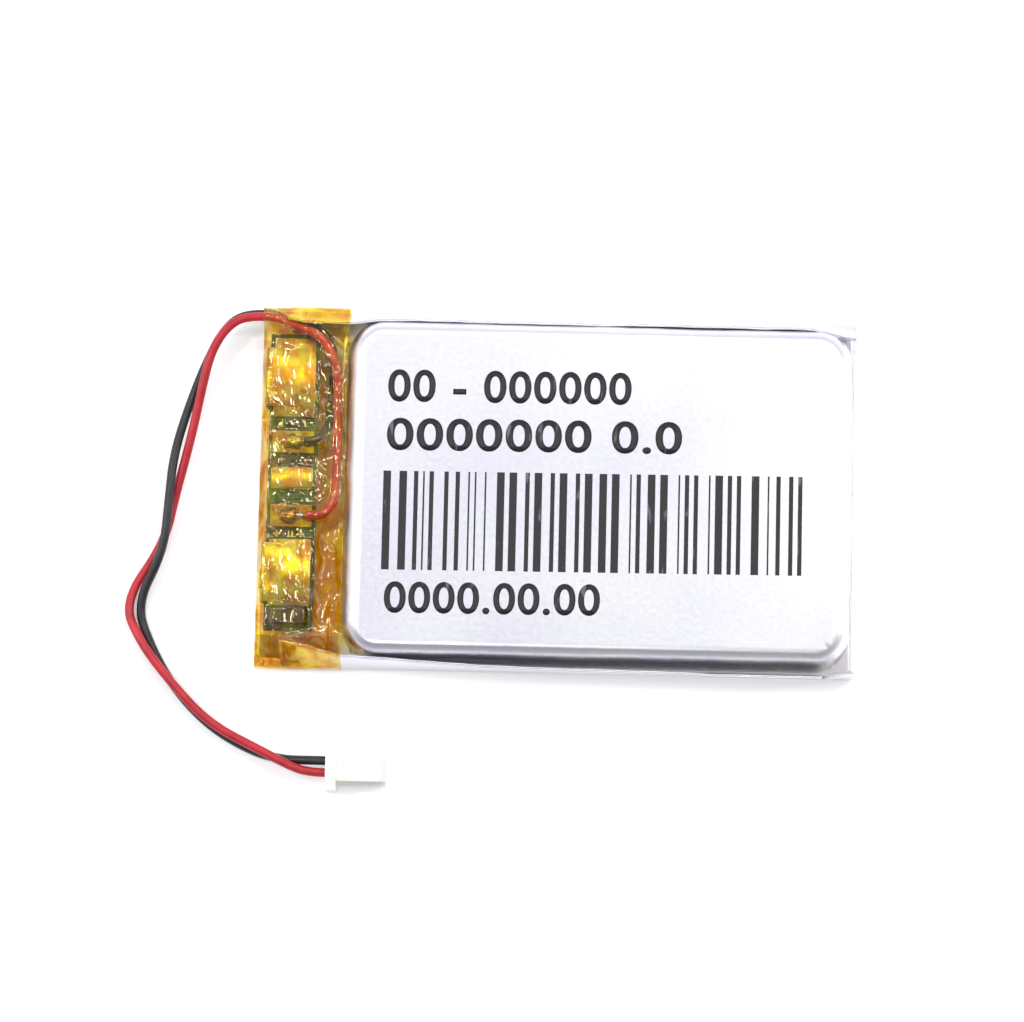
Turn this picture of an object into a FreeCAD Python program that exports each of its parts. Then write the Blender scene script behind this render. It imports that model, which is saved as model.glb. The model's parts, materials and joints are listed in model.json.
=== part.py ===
import FreeCAD, Part
import math
import os

# A flat lithium pouch cell with a protection board wrapped in amber film on its sealing
# edge and two thin leads that end in a two-way crimp housing. Millimetres.
# Origin: middle of the back face. +X: along the cell, away from the board. +Z: out of the
# printed face. The cell lies on its back at z = 0.

os.makedirs("parts", exist_ok=True)
V = FreeCAD.Vector

# ---- driving dimensions -------------------------------------------------------------
CELL_LENGTH = 48.0        # pouch, from its folded end to the trimmed tab seal
PACK_WIDTH = 30.4         # over the film wrap, the widest place
CELL_THICKNESS = 4.2      # back face to printed face
WRAP_REACH = 2.2          # the wrapped board end, beyond the tab seal's edge

# pouch
LAMINATE = 0.12           # aluminium laminate, one layer
CUP_SIDE_MARGIN = 0.6     # pressed cup to the wrap's outside, each long side
CUP_END_MARGIN = 0.2      # cup to the folded end
TERRACE = 5.0             # tab seal, cup to trimmed edge
TERRACE_LIFT = 0.10       # the tab seal is bent up by this much, to leave room for film
LIFT_RUN = 0.4            # length of that bend
CUP_CORNER = 3.2          # plan radius of the cup's corners
CUP_EDGE = 0.6            # rounding of the cup's top edge
CUP_DRAFT = 4.0           # degrees, end walls
CUP_SIDE_DRAFT = 14.0     # degrees, long walls, which slope out towards the side seals
FOLD_RADIUS = 0.3         # side seal's bend, measured between its two layers
FOLD_HEIGHT = 3.4         # top of the folded side seal
FOLD_LEAN = 12.0          # degrees the folded side seal leans in

# electrode stack
ANODE_THICKNESS = 0.14
CATHODE_THICKNESS = 0.15
SEPARATOR_THICKNESS = 0.02
STACK_MARGIN = 1.1        # cup's outline to the separators' edge, at the folded end
STACK_SIDE_MARGIN = 1.7   # and along the sides
STACK_FRONT_ROOM = 2.3    # cup's front wall to the separators' edge
ANODE_INSET = 0.3         # separator's edge to anode's edge
CATHODE_INSET = 0.6
STACK_TAPE = 0.04
STACK_TAPE_WIDTH = 7.0
STACK_TAPE_PLACES = (0.25, 0.75)

# tabs and foil ears
TAB_WIDTH = 5.0
TAB_THICKNESS = 0.08
TAB_BEND = 0.3            # radius at the middle of the strip
NEGATIVE_TAB_Y = 9.25
POSITIVE_TAB_Y = -7.25
TAB_REACH_IN = 1.3        # tab's end inside the cup, from the cup's front edge
SEALANT_THICKNESS = 0.14
SEALANT_SIDE = 1.0        # sealing film past the tab on each side
SEALANT_OUT = 0.5         # sealing film past the seal's edge
SEALANT_IN = 0.3          # sealing film inside the cup
EAR_WIDTH = 4.0
EAR_THICKNESS = 0.02
WELD_TAPE = 0.03

# protection board
BOARD_WIDTH = 4.1
BOARD_LENGTH = 25.1
BOARD_Y = 0.4             # its middle
BOARD_THICKNESS = 0.8
BOARD_EDGE_GAP = 0.8      # wrap's end to the board's outer edge
CHIP_HEIGHT = 1.1         # tallest part under the board, which it rests on
INSULATION = 0.08         # strip between the tab seal and the board
LAND = 0.03               # tinned copper
PLATE = 0.15              # nickel plates soldered to the board
PLATE_WIDTH = 3.5
NEGATIVE_PLATE_LENGTH = 6.7
POSITIVE_PLATE_LENGTH = 5.6
PAD_LENGTH = 1.85
BLACK_PAD_Y = 3.8
RED_PAD_Y = -2.45
TEST_PAD_Y = 0.75
SOLDER_RADIUS = 0.85
SOLDER_HEIGHT = 0.62

# film wrap
FILM = 0.06
FILM_TOP = 3.62
FILM_FLOOR = 0.02         # film's underside above the back face
FILM_SHOULDER = 0.5       # bevel along the wrap's upper edges

# leads and connector
WIRE = 0.76               # outside diameter of the insulation
CONDUCTOR = 0.36
HOUSING_LENGTH = 5.0
HOUSING_WIDTH = 3.2
HOUSING_HEIGHT = 2.6
FLANGE_LENGTH = 0.9
FLANGE_WIDTH = 4.1
FLANGE_HEIGHT = 3.0
CHANNEL = 0.86            # square channel for one terminal
RAIL_HEIGHT = 1.3         # top of the rail along each side
RAIL_DEPTH = 0.4          # how far a rail stands out from the side
TERMINAL_WALL = 0.12

# clearances
FIT = 0.02                # between thin pieces that lie in each other
WRAP_FIT = 0.05           # wrap's open edge to the cup's wall
HOLE_FIT = 0.03           # lead to its hole in the wrap

# free leads: route points chosen by hand; x from the wrap's end, y from the board's end where
# the leads pass it, z from the floor
RED_ROUTE = [
    (0.00, 1.40, 2.65),
    (-1.50, 1.40, 2.65),
    (-3.00, 0.45, 2.70),
    (-4.25, -1.60, 2.70),
    (-5.00, -4.90, 2.35),
    (-5.75, -8.75, 1.70),
    (-7.00, -13.55, 0.80),
    (-7.90, -17.85, 0.42),
    (-11.20, -22.85, 0.40),
    (-9.50, -26.35, 1.20),
    (-7.00, -29.45, 1.25),
    (-3.60, -32.95, 1.22),
    (0.70, -35.05, 1.40),
    (3.20, -36.30, 1.75),
    (4.80, -36.85, 1.50),
    (6.35, -36.85, 1.50),
]
BLACK_ROUTE = [
    (0.00, 1.75, 1.80),
    (-1.50, 1.75, 1.80),
    (-3.05, 0.75, 1.75),
    (-4.45, -1.75, 1.65),
    (-6.05, -6.05, 1.55),
    (-7.25, -10.35, 1.50),
    (-7.50, -14.15, 1.70),
    (-7.80, -18.55, 1.65),
    (-10.10, -23.05, 0.40),
    (-8.70, -26.65, 0.40),
    (-6.65, -30.05, 0.40),
    (-3.70, -33.10, 0.40),
    (-0.05, -35.15, 0.40),
    (2.55, -35.80, 0.85),
    (4.65, -35.85, 1.50),
    (6.35, -35.85, 1.50),
]

# ---- places worked out from them ----------------------------------------------------
PACK_LENGTH = CELL_LENGTH + WRAP_REACH
END_X = PACK_LENGTH / 2
WRAP_X = -PACK_LENGTH / 2
SEAL_X = END_X - CELL_LENGTH
CUP_FRONT_X = SEAL_X + TERRACE
CUP_END_X = END_X - CUP_END_MARGIN
CUP_HALF = PACK_WIDTH / 2 - CUP_SIDE_MARGIN
FOLD_Y = PACK_WIDTH / 2 - FILM - FIT - LAMINATE      # between the side seal's layers
TAB_Z = LAMINATE + TERRACE_LIFT
TERRACE_TOP = TERRACE_LIFT + 2 * LAMINATE
BOARD_X0 = WRAP_X + BOARD_EDGE_GAP
BOARD_X1 = BOARD_X0 + BOARD_WIDTH
BOARD_XM = (BOARD_X0 + BOARD_X1) / 2
BOARD_Z0 = TERRACE_TOP + INSULATION + CHIP_HEIGHT
BOARD_TOP = BOARD_Z0 + BOARD_THICKNESS
LAND_TOP = BOARD_TOP + LAND
PLATE_TOP = LAND_TOP + PLATE
PLATE_X1 = BOARD_XM + PLATE_WIDTH / 2
BOARD_END_Y = BOARD_Y + BOARD_LENGTH / 2


def in_frame(route):
    """Route points in the part's frame."""
    return [(WRAP_X + x, BOARD_END_Y + y, z) for x, y, z in route]


RED_FREE = in_frame(RED_ROUTE)
BLACK_FREE = in_frame(BLACK_ROUTE)
# leads inside the wrap: past the board's corner, down the gully and up onto their pads
RED_INNER = [
    RED_FREE[0],
    (WRAP_X + 1.20, RED_FREE[0][1], RED_FREE[0][2]),
    (SEAL_X + 0.35, BOARD_END_Y + 0.70, LAND_TOP + 0.45),
    (BOARD_X1 + 0.10, BOARD_END_Y - 0.05, LAND_TOP + 0.55),
    (CUP_FRONT_X - 0.75, BOARD_END_Y - 2.65, LAND_TOP + 0.35),
    (CUP_FRONT_X - 0.60, RED_PAD_Y + 8.45, LAND_TOP),
    (CUP_FRONT_X - 0.60, RED_PAD_Y + 4.05, LAND_TOP + 0.10),
    (CUP_FRONT_X - 0.70, RED_PAD_Y + 1.25, LAND_TOP + 0.35),
    (BOARD_X1 + 0.65, RED_PAD_Y + 0.03, LAND_TOP + 0.50),
    (BOARD_X1 - 0.75, RED_PAD_Y, LAND_TOP + 0.47),
]
BLACK_INNER = [
    BLACK_FREE[0],
    (WRAP_X + 1.10, BLACK_FREE[0][1], BLACK_FREE[0][2]),
    (SEAL_X + 0.20, BOARD_END_Y + 0.90, BOARD_Z0 - 0.07),
    (BOARD_X1, BOARD_END_Y + 0.75, BOARD_Z0 - 0.42),
    (BOARD_X1 + 1.10, BOARD_END_Y - 1.15, BOARD_Z0 - 0.47),
    (BOARD_X1 + 1.10, BLACK_PAD_Y + 4.40, BOARD_Z0 - 0.22),
    (BOARD_X1 + 1.00, BLACK_PAD_Y + 1.60, BOARD_TOP - 0.22),
    (BOARD_X1 + 0.20, BLACK_PAD_Y + 0.15, LAND_TOP + 0.45),
    (BOARD_X1 - 1.10, BLACK_PAD_Y, LAND_TOP + 0.47),
]


def save(name, solids):
    """Write one node: a list of separate solids."""
    shape = solids[0] if len(solids) == 1 else Part.Compound(solids)
    shape.exportStep("parts/" + name + ".step")


def block(x0, x1, y0, y1, z0, z1):
    """A plain box between two corners."""
    return Part.makeBox(x1 - x0, y1 - y0, z1 - z0, V(x0, y0, z0))


def centred(x, y, z0, length, width, height):
    """A plain box on the point x, y, standing on z0."""
    return block(x - length / 2, x + length / 2, y - width / 2, y + width / 2, z0, z0 + height)


def rounded_wire(x0, x1, half, radius, z):
    """Outline of a rectangle with round corners, from -half to half across."""
    slant = radius * (1 - math.sqrt(0.5))
    edges = []
    corners = [(x1, half, -1, -1), (x0, half, 1, -1), (x0, -half, 1, 1), (x1, -half, -1, 1)]
    arcs = []
    for index, (cx, cy, sx, sy) in enumerate(corners):
        along = V(cx + sx * radius, cy, z)
        across = V(cx, cy + sy * radius, z)
        middle = V(cx + sx * slant, cy + sy * slant, z)
        first, last = (across, along) if index % 2 == 0 else (along, across)
        arcs.append((first, middle, last))
    for index, (first, middle, last) in enumerate(arcs):
        edges.append(Part.Arc(first, middle, last).toShape())
        edges.append(Part.LineSegment(last, arcs[(index + 1) % 4][0]).toShape())
    return Part.Wire(edges)


def rounded_sheet(x0, x1, half, radius, z0, thickness):
    """A flat sheet with round corners."""
    return Part.Face(rounded_wire(x0, x1, half, radius, z0)).extrude(V(0, 0, thickness))


def cup_block(inset, top, edge):
    """The pressed cup as a full block: sides with draft and a round top edge."""
    rise = top - LAMINATE
    lean = rise * math.tan(math.radians(CUP_DRAFT))
    side_lean = rise * math.tan(math.radians(CUP_SIDE_DRAFT))
    wires = []
    for shift, side_shift, z in ((inset, inset, LAMINATE), (inset + lean, inset + side_lean, top)):
        wires.append(rounded_wire(CUP_FRONT_X + shift, CUP_END_X - shift,
                                  CUP_HALF - side_shift, CUP_CORNER - shift, z))
    body = Part.makeLoft(wires, True, True)
    rim = [e for e in body.Edges if all(abs(v.Point.z - top) < 1e-6 for v in e.Vertexes)]
    return body.makeFillet(edge, rim)


def fold_side(offset, side):
    """Path of the side seal on one side: flat, bend and leaning run, as curve segments.

    offset is the distance outwards from the plane between the two layers.
    """
    lean = math.radians(FOLD_LEAN)
    centre_y = FOLD_Y - FOLD_RADIUS
    centre_z = LAMINATE + FOLD_RADIUS
    radius = FOLD_RADIUS + offset
    run = (FOLD_HEIGHT - centre_z - radius * math.sin(lean)) / math.cos(lean)

    def place(y, z):
        return V(0, side * y, z)

    def on_bend(angle):
        return place(centre_y + radius * math.cos(angle), centre_z + radius * math.sin(angle))

    start = on_bend(-math.pi / 2)
    middle = on_bend((lean - math.pi / 2) / 2)
    bend_end = on_bend(lean)
    top = bend_end + V(0, -side * run * math.sin(lean), run * math.cos(lean))
    return start, middle, bend_end, top


def channel(inner, outer, x0, x1, z0=0.0, z1=0.0):
    """One laminate layer across the cell with both side seals folded up, x0 to x1."""
    edges = []
    tops = []
    for offset in (inner, outer):
        right = fold_side(offset, 1)
        left = fold_side(offset, -1)
        for start, middle, bend_end, top in (right, left):
            edges.append(Part.LineSegment(top, bend_end).toShape())
            edges.append(Part.Arc(bend_end, middle, start).toShape())
        edges.append(Part.LineSegment(right[0], left[0]).toShape())
        tops.append((right[3], left[3]))
    for near, far in zip(tops[0], tops[1]):
        edges.append(Part.LineSegment(near, far).toShape())
    face = Part.Face(Part.Wire(Part.__sortEdges__(edges)))
    face.translate(V(x0, 0, z0))
    return face.extrude(V(x1 - x0, 0, z1 - z0))


def layer(inner, outer, x_end):
    """A laminate layer from the trimmed tab seal, lifted there, to x_end."""
    bend_x = CUP_FRONT_X - LIFT_RUN
    seal = channel(inner, outer, SEAL_X, bend_x, TERRACE_LIFT, TERRACE_LIFT)
    step = channel(inner, outer, bend_x, CUP_FRONT_X, TERRACE_LIFT, 0.0)
    body = channel(inner, outer, CUP_FRONT_X, x_end)
    return seal.fuse([step, body])


def bent_strip(route, bend, thickness, y0, y1):
    """A flat strip of even thickness that follows a route of (x, z) with round bends."""
    points = [V(x, 0, z) for x, z in route]
    sides = []
    for half in (thickness / 2, -thickness / 2):
        segments = []
        direction = (points[1] - points[0]).normalize()
        position = points[0] + V(-direction.z, 0, direction.x) * half
        for before, corner, after in zip(points, points[1:], points[2:]):
            come = (corner - before).normalize()
            go = (after - corner).normalize()
            normal = V(-come.z, 0, come.x)
            sign = 1 if normal.dot(go) > 0 else -1
            cut = bend * math.tan(come.getAngle(go) / 2)
            centre = corner - come * cut + normal * (sign * bend)
            first = corner - come * cut + normal * half
            last = corner + go * cut + V(-go.z, 0, go.x) * half
            middle = centre + (corner - centre).normalize() * (bend - sign * half)
            segments.append(Part.LineSegment(position, first))
            segments.append(Part.Arc(first, middle, last))
            position = last
        direction = (points[-1] - points[-2]).normalize()
        end = points[-1] + V(-direction.z, 0, direction.x) * half
        segments.append(Part.LineSegment(position, end))
        sides.append(segments)
    edges = [s.toShape() for side in sides for s in side]
    edges.append(Part.LineSegment(sides[0][0].StartPoint, sides[1][0].StartPoint).toShape())
    edges.append(Part.LineSegment(sides[0][-1].EndPoint, sides[1][-1].EndPoint).toShape())
    face = Part.Face(Part.Wire(Part.__sortEdges__(edges)))
    face.translate(V(0, y0, 0))
    return face.extrude(V(0, y1 - y0, 0))


def tube(name, route, diameter):
    """A lead along straight runs and tangent arcs, with its radii printed."""
    points = [V(*p) for p in route]
    edges = []
    radii = []
    position = points[0]
    for before, corner, after in zip(points, points[1:], points[2:]):
        come = (corner - before).normalize()
        go = (after - corner).normalize()
        half_turn = come.getAngle(go) / 2
        cut = 0.45 * min(before.distanceToPoint(corner), corner.distanceToPoint(after))
        radius = cut / math.tan(half_turn)
        inward = (go - come).normalize()
        centre = corner + inward * (radius / math.cos(half_turn))
        first = corner - come * cut
        last = corner + go * cut
        edges.append(Part.LineSegment(position, first).toShape())
        edges.append(Part.Arc(first, centre - inward * radius, last).toShape())
        radii.append(radius)
        position = last
    edges.append(Part.LineSegment(position, points[-1]).toShape())
    path = Part.Wire(edges)
    start = (points[1] - points[0]).normalize()
    section = Part.Wire(Part.makeCircle(diameter / 2, points[0], start))
    solid = path.makePipeShell([section], True, False)
    wanted = math.pi * diameter ** 2 / 4 * path.Length
    print(name, "length", round(path.Length, 2), "volume ratio", round(solid.Volume / wanted, 4),
          "radii", [round(r, 1) for r in radii])
    return solid


# ---- pouch --------------------------------------------------------------------------
def tab_route():
    """Side view of a tab: out of the seal, up past the board's edge and back over it."""
    rise_x = BOARD_X0 - (BOARD_X0 - WRAP_X) * 0.45
    over_z = PLATE_TOP + FIT + TAB_THICKNESS / 2
    return [(CUP_FRONT_X + TAB_REACH_IN, TAB_Z), (rise_x, TAB_Z), (rise_x, over_z),
            (PLATE_X1 - 0.6, over_z)]


def make_tab(y):
    return bent_strip(tab_route(), TAB_BEND, TAB_THICKNESS, y - TAB_WIDTH / 2, y + TAB_WIDTH / 2)


def sealant_block(y):
    half = TAB_WIDTH / 2 + SEALANT_SIDE
    return block(SEAL_X - SEALANT_OUT, CUP_FRONT_X + SEALANT_IN, y - half, y + half,
                 TAB_Z - SEALANT_THICKNESS / 2, TAB_Z + SEALANT_THICKNESS / 2)


def make_pouch():
    """The two halves of the folded laminate: the pressed cup and the flat back."""
    sealants = [sealant_block(NEGATIVE_TAB_Y), sealant_block(POSITIVE_TAB_Y)]
    lip_x = END_X - LAMINATE
    cup = layer(-LAMINATE, 0.0, lip_x)
    cup = cup.fuse(cup_block(0.0, CELL_THICKNESS, CUP_EDGE)).removeSplitter()
    cup = cup.cut(cup_block(LAMINATE, CELL_THICKNESS - LAMINATE, CUP_EDGE - LAMINATE))
    cup = cup.cut(sealants)
    back = layer(0.0, LAMINATE, END_X)
    back = back.fuse(channel(-LAMINATE, 0.0, lip_x, END_X)).removeSplitter()
    back = back.cut(sealants)
    save("pouch_cup", cup.Solids)
    save("pouch_back", back.Solids)


def stack_layers():
    """Bottom height, kind and thickness of every layer, from the back face up."""
    floor = LAMINATE + FIT + STACK_TAPE
    room = CELL_THICKNESS - LAMINATE - FIT - STACK_TAPE - floor
    pair = ANODE_THICKNESS + CATHODE_THICKNESS + 2 * SEPARATOR_THICKNESS
    pairs = int((room - ANODE_THICKNESS - 2 * SEPARATOR_THICKNESS) / pair)
    kinds = ["separator", "anode"] + ["separator", "cathode", "separator", "anode"] * pairs
    kinds.append("separator")
    thickness = {"separator": SEPARATOR_THICKNESS, "anode": ANODE_THICKNESS,
                 "cathode": CATHODE_THICKNESS}
    layers = []
    z = floor
    for kind in kinds:
        layers.append((kind, z, thickness[kind]))
        z += thickness[kind]
    return layers, floor, z


def make_stack():
    """Anodes, cathodes and separators, held by two bands of tape."""
    layers, floor, top = stack_layers()
    inset = {"separator": 0.0, "anode": ANODE_INSET, "cathode": CATHODE_INSET}
    solids = {"separator": [], "anode": [], "cathode": []}
    front = CUP_FRONT_X + STACK_FRONT_ROOM
    end = CUP_END_X - STACK_MARGIN
    half = CUP_HALF - STACK_SIDE_MARGIN
    corner = CUP_CORNER - STACK_MARGIN
    for kind, z, thick in layers:
        less = inset[kind]
        solids[kind].append(rounded_sheet(front + less, end - less, half - less,
                                          corner - less, z, thick))
    save("separator_sheets", solids["separator"])
    save("anode_plates", solids["anode"])
    save("cathode_plates", solids["cathode"])
    bands = []
    for share in STACK_TAPE_PLACES:
        x0 = front + share * (end - front) - STACK_TAPE_WIDTH / 2
        x1 = x0 + STACK_TAPE_WIDTH
        outer = block(x0, x1, -half - STACK_TAPE, half + STACK_TAPE,
                      floor - STACK_TAPE, top + STACK_TAPE)
        bands.append(outer.cut(block(x0, x1, -half, half, floor, top)))
    save("stack_tapes", bands)


def make_ears():
    """Bare foil ears of the plates, gathered on the tabs and welded there."""
    layers, floor, top = stack_layers()
    front = CUP_FRONT_X + STACK_FRONT_ROOM
    weld_x0 = CUP_FRONT_X + 0.7
    weld_x1 = weld_x0 + 0.7
    bend_x = front - 0.1
    tapes = []
    for kind, less, y, name in (("anode", ANODE_INSET, NEGATIVE_TAB_Y, "copper_foil_ears"),
                                ("cathode", CATHODE_INSET, POSITIVE_TAB_Y, "aluminium_foil_ears")):
        ears = []
        weld_z = TAB_Z + TAB_THICKNESS / 2
        for _, z, thick in [entry for entry in layers if entry[0] == kind]:
            from_z = z + (thick - EAR_THICKNESS) / 2
            below = [V(front + less, y - EAR_WIDTH / 2, from_z), V(bend_x, y - EAR_WIDTH / 2, from_z),
                     V(weld_x1, y - EAR_WIDTH / 2, weld_z), V(weld_x0, y - EAR_WIDTH / 2, weld_z)]
            above = [point + V(0, 0, EAR_THICKNESS) for point in reversed(below)]
            outline = Part.makePolygon(below + above + below[:1])
            ears.append(Part.Face(outline).extrude(V(0, EAR_WIDTH, 0)))
            weld_z += EAR_THICKNESS
        save(name, ears)
        half = EAR_WIDTH / 2 + 0.4
        tapes.append(block(weld_x0 - 0.1, weld_x1, y - half, y + half, weld_z, weld_z + WELD_TAPE))
    save("weld_tapes", tapes)


def make_tabs():
    """The cell's two tabs, each in its own sealing film."""
    for name, y in (("negative", NEGATIVE_TAB_Y), ("positive", POSITIVE_TAB_Y)):
        tab = make_tab(y)
        save(name + "_tab", [tab])
        save(name + "_tab_sealant", sealant_block(y).cut(tab).Solids)


# ---- protection board ---------------------------------------------------------------
def solder_dome(y):
    """A solder joint as a cap of a ball on its land."""
    ball = (SOLDER_RADIUS ** 2 + SOLDER_HEIGHT ** 2) / (2 * SOLDER_HEIGHT)
    sphere = Part.makeSphere(ball, V(BOARD_XM - 0.1, y, LAND_TOP + SOLDER_HEIGHT - ball))
    return sphere.common(centred(BOARD_XM - 0.1, y, LAND_TOP, 3, 3, 2))


def make_board():
    """Board, lands, nickel plates and the small parts on both sides."""
    half = BOARD_LENGTH / 2
    save("circuit_board", [block(BOARD_X0, BOARD_X1, BOARD_Y - half, BOARD_Y + half,
                                 BOARD_Z0, BOARD_TOP)])
    strip = BOARD_LENGTH + 0.8
    save("board_insulation", [block(SEAL_X + FIT, CUP_FRONT_X - LIFT_RUN, BOARD_Y - strip / 2,
                                    BOARD_Y + strip / 2, TERRACE_TOP, TERRACE_TOP + INSULATION)])
    lands = []
    for y, length in ((NEGATIVE_TAB_Y, NEGATIVE_PLATE_LENGTH), (POSITIVE_TAB_Y, POSITIVE_PLATE_LENGTH),
                      (BLACK_PAD_Y, PAD_LENGTH), (RED_PAD_Y, PAD_LENGTH), (TEST_PAD_Y, PAD_LENGTH)):
        lands.append(centred(BOARD_XM, y, BOARD_TOP, PLATE_WIDTH, length, LAND))
    save("board_lands", lands)
    save("negative_nickel_plate", [centred(BOARD_XM, NEGATIVE_TAB_Y, LAND_TOP, PLATE_WIDTH,
                                           NEGATIVE_PLATE_LENGTH, PLATE)])
    save("positive_nickel_plate", [centred(BOARD_XM, POSITIVE_TAB_Y, LAND_TOP, PLATE_WIDTH,
                                           POSITIVE_PLATE_LENGTH, PLATE)])
    save("test_pad", [centred(BOARD_XM, TEST_PAD_Y, LAND_TOP, PLATE_WIDTH, PAD_LENGTH - 0.15, 0.1)])


def chip_on_legs(x, y, length, width, legs, pitch):
    """A chip under the board: its moulded body and its bent legs, three or four a side."""
    leg_out = 0.5
    leg_thick = 0.12
    body_top = BOARD_Z0 - 0.08
    body = block(x - width / 2, x + width / 2, y - length / 2, y + length / 2,
                 BOARD_Z0 - CHIP_HEIGHT, body_top)
    feet = []
    for index in range(legs):
        along = y + (index - (legs - 1) / 2) * pitch
        for side in (1, -1):
            edge = x + side * width / 2
            mid_z = BOARD_Z0 - CHIP_HEIGHT / 2
            route = [(edge, mid_z), (edge + side * leg_out * 0.45, mid_z),
                     (edge + side * leg_out * 0.45, BOARD_Z0 - leg_thick / 2),
                     (edge + side * leg_out, BOARD_Z0 - leg_thick / 2)]
            feet.append(bent_strip(route, 0.08, leg_thick, along - 0.15, along + 0.15))
    return body, feet


def make_components():
    """Protection chip, twin transistor and the small chip parts."""
    under_x = BOARD_XM
    chip, chip_legs = chip_on_legs(under_x, BOARD_Y + 4.6, 2.9, 1.6, 3, 0.95)
    twin, twin_legs = chip_on_legs(under_x, BOARD_Y - 3.2, 3.0, 2.6, 4, 0.65)
    save("protection_chip", [chip])
    save("twin_transistor", [twin])
    save("chip_legs", chip_legs + twin_legs)
    save("chip_resistors", [centred(under_x, BOARD_Y + 5.0, BOARD_TOP, 1.0, 0.5, 0.35),
                            centred(under_x, BOARD_Y + 0.8, BOARD_Z0 - 0.35, 1.0, 0.5, 0.35)])
    save("chip_capacitor", [centred(under_x, BOARD_Y + 1.9, BOARD_Z0 - 0.5, 1.0, 0.5, 0.5)])
    save("end_thermistor", [centred(under_x, BOARD_Y - BOARD_LENGTH / 2 + 1.2, BOARD_TOP,
                                    2.6, 1.3, 0.7)])


def make_joints():
    """The leads' held ends: insulation inside the wrap, bare strands and solder."""
    for name, route, y in (("red", RED_INNER, RED_PAD_Y), ("black", BLACK_INNER, BLACK_PAD_Y)):
        save(name + "_lead_inner", [tube(name + "_lead_inner", route, WIRE)])
        start = V(*route[-1])
        toward = V(BOARD_XM - 0.7, y, LAND_TOP + CONDUCTOR / 2 + 0.02) - start
        strands = Part.makeCylinder(CONDUCTOR / 2, toward.Length, start, toward)
        insulation_end = start - V(*route[-2])
        tilted = Part.makeCylinder(WIRE, 2.0, start, insulation_end)
        strands = strands.common(tilted)
        save(name + "_lead_strands", strands.Solids)
        save(name + "_solder_joint", solder_dome(y).cut(strands).Solids)


# ---- film wrap ----------------------------------------------------------------------
def wrap_block(inset):
    """The space inside the wrap's skin, inset from its outside, as a full block."""
    x0 = WRAP_X + inset
    x1 = CUP_FRONT_X - WRAP_FIT
    z0 = FILM_FLOOR + inset
    z1 = FILM_TOP - inset
    half = PACK_WIDTH / 2 - inset
    bevel = FILM_SHOULDER
    side = [V(x0, -half, z0), V(x0, -half, z1 - bevel), V(x0 + bevel, -half, z1),
            V(x1, -half, z1), V(x1, -half, z0)]
    along = Part.Face(Part.makePolygon(side + side[:1])).extrude(V(0, 2 * half, 0))
    end = [V(x0, -half, z0), V(x0, -half, z1 - bevel), V(x0, bevel - half, z1),
           V(x0, half - bevel, z1), V(x0, half, z1 - bevel), V(x0, half, z0)]
    across = Part.Face(Part.makePolygon(end + end[:1])).extrude(V(x1 - x0, 0, 0))
    return along.common(across)


def make_wrap():
    """Amber film folded round the board and the tab seal, open towards the cup."""
    skin = wrap_block(0.0).cut(wrap_block(FILM))
    half = PACK_WIDTH / 2
    skin = skin.cut(block(CUP_FRONT_X - LIFT_RUN, CUP_FRONT_X, -half, half, 0, FILM_FLOOR + FILM))
    for route in (RED_INNER, BLACK_INNER):
        start = V(*route[0])
        toward = V(*route[1]) - start
        hole = Part.makeCylinder(WIRE / 2 + HOLE_FIT, 2.0, start - toward.normalize(), toward)
        skin = skin.cut(hole)
    save("kapton_wrap", skin.Solids)


# ---- free leads and connector -------------------------------------------------------
def make_leads():
    save("red_lead", [tube("red_lead", RED_FREE, WIRE)])
    save("black_lead", [tube("black_lead", BLACK_FREE, WIRE)])


def make_connector():
    """Two-way crimp housing lying with its windows down, with a terminal in each channel."""
    x0 = RED_FREE[-1][0]
    x1 = x0 + HOUSING_LENGTH
    y = (RED_FREE[-1][1] + BLACK_FREE[-1][1]) / 2
    wire_z = RED_FREE[-1][2]
    flange = centred(x0 + FLANGE_LENGTH / 2, y, 0, FLANGE_LENGTH, FLANGE_WIDTH, FLANGE_HEIGHT)
    body = centred((x0 + x1) / 2, y, 0.2, HOUSING_LENGTH, HOUSING_WIDTH, HOUSING_HEIGHT)
    nose = [e for e in body.Edges
            if all(abs(v.Point.x - x1) < 1e-6 for v in e.Vertexes)
            and e.Vertexes[0].Point.y != e.Vertexes[1].Point.y]
    body = body.makeChamfer(0.5, nose)
    rail_y = (HOUSING_WIDTH - RAIL_DEPTH) / 2
    for side in (1, -1):
        body = body.cut(centred((x0 + x1) / 2, y + side * rail_y, RAIL_HEIGHT,
                                HOUSING_LENGTH, RAIL_DEPTH, FLANGE_HEIGHT))
    housing = body.fuse(flange).removeSplitter()
    for name, route in (("red", RED_FREE), ("black", BLACK_FREE)):
        centre_y = route[-1][1]
        housing = housing.cut(centred((x0 + x1) / 2, centre_y, wire_z - CHANNEL / 2,
                                      HOUSING_LENGTH, CHANNEL, CHANNEL))
        window = centred(x1 - 1.5, centre_y, 0, 1.8, CHANNEL - 0.16, wire_z)
        housing = housing.cut(window)
        outside = CHANNEL - 2 * FIT
        sleeve = centred(x1 - 1.7, centre_y, wire_z - outside / 2, 2.4, outside, outside)
        inside = outside - 2 * TERMINAL_WALL
        sleeve = sleeve.cut(centred(x1 - 1.7, centre_y, wire_z - inside / 2, 2.4, inside, inside))
        barrel = Part.makeCylinder(outside / 2, x1 - 2.9 - x0, V(x0, centre_y, wire_z), V(1, 0, 0))
        save(name + "_terminal", sleeve.fuse(barrel).removeSplitter().Solids)
    save("connector_housing", housing.Solids)


make_pouch()
make_stack()
make_ears()
make_tabs()
make_board()
make_components()
make_joints()
make_wrap()
make_leads()
make_connector()
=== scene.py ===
import json
import math
import random

import bmesh
import bpy
import numpy as np
from mathutils import Matrix, Vector, noise
from mathutils.bvhtree import BVHTree

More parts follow.
